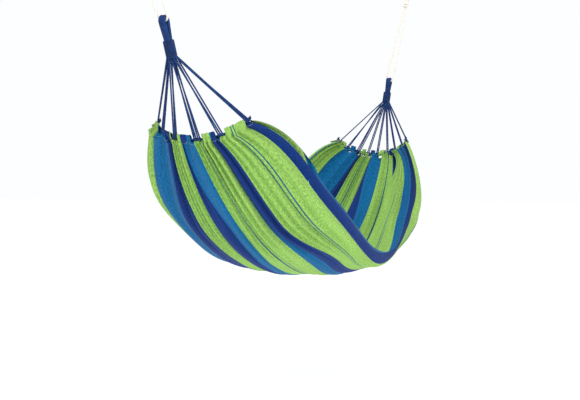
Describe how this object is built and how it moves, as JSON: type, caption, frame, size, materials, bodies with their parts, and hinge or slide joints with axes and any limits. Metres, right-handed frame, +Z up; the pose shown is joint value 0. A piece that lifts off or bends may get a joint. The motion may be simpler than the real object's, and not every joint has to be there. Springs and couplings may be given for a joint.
{
  "type": "hammock",
  "caption": "Striped woven cloth hammock gathered at both ends onto fans of navy cord, with wrapped eyes, white hanging ropes and screw hooks.",
  "frame": {"origin": "where the left hook's screw meets the ceiling, on the screw's axis", "axes": "+X along the hammock to the right hook, +Y across it to the back, +Z up along the screws"},
  "size_m": [2.659, 0.6444, 1.3162],
  "materials": {
    "striped_cloth": "matte woven cotton, lime green with royal blue and teal stripes",
    "navy_cord": "matte laid cord",
    "navy_whipping": "matte cord wound in close turns",
    "white_rope": "matte laid cotton rope",
    "hook_steel": "zinc-plated wire, satin"
  },
  "bodies": {
    "ceiling_hooks": {"left_hook": "hook_steel", "right_hook": "hook_steel"},
    "hammock": {"bed_cloth": "striped_cloth", "left_cords_1": "navy_cord", "left_cords_2": "navy_cord", "left_cords_3": "navy_cord", "left_cords_4": "navy_cord", "left_cords_5": "navy_cord", "left_cords_6": "navy_cord", "left_eye": "navy_cord", "left_hanging_rope": "white_rope", "left_hem_cord": "navy_cord", "left_hitches": "navy_cord", "left_rope_knot": "white_rope", "left_rope_loop": "white_rope", "left_stoppers": "navy_cord", "left_tunnel_hem": "striped_cloth", "left_wrap": "navy_whipping", "right_cords_1": "navy_cord", "right_cords_2": "navy_cord", "right_cords_3": "navy_cord", "right_cords_4": "navy_cord", "right_cords_5": "navy_cord", "right_cords_6": "navy_cord", "right_cords_7": "navy_cord", "right_cords_8": "navy_cord", "right_cords_9": "navy_cord", "right_eye": "navy_cord", "right_hanging_rope": "white_rope", "right_hem_cord": "navy_cord", "right_hitches": "navy_cord", "right_rope_knot": "white_rope", "right_rope_loop": "white_rope", "right_stoppers": "navy_cord", "right_tunnel_hem": "striped_cloth", "right_wrap": "navy_whipping"}
  },
  "joints": [
    {"name": "swing", "type": "hinge", "parent": "ceiling_hooks", "child": "hammock", "pos_m": [1.31, 0, -0.05142], "axis": [1, 0, 0], "range_deg": [-30, 30]}
  ]
}
